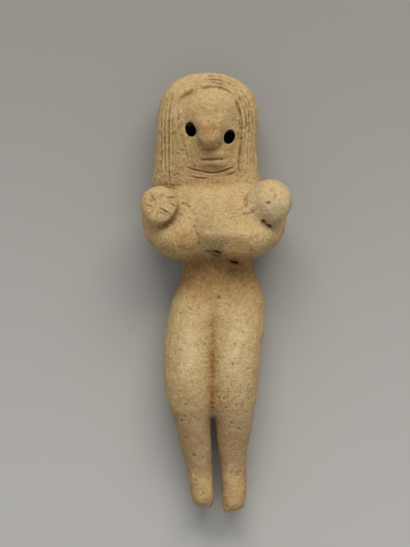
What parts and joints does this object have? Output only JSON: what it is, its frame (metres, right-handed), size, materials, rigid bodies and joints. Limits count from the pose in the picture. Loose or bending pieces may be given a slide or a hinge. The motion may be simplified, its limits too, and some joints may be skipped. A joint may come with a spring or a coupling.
{
  "type": "terracotta figurine",
  "caption": "Small hand-modelled fired-clay figurine of a standing woman with long combed hair, pierced eyes and folded arms, lying on its back.",
  "frame": {"origin": "on the surface that the figurine lies on, under the middle of its length and width", "axes": "+Y from the feet to the crown, +Z from the back up to the face, +X to the right of someone who looks down at the face"},
  "size_m": [0.0377, 0.1101, 0.0226],
  "materials": {
    "fired_clay": "matte buff fired clay with brown soil stains"
  },
  "bodies": {
    "root": {"figurine": "fired_clay"}
  },
  "joints": []
}
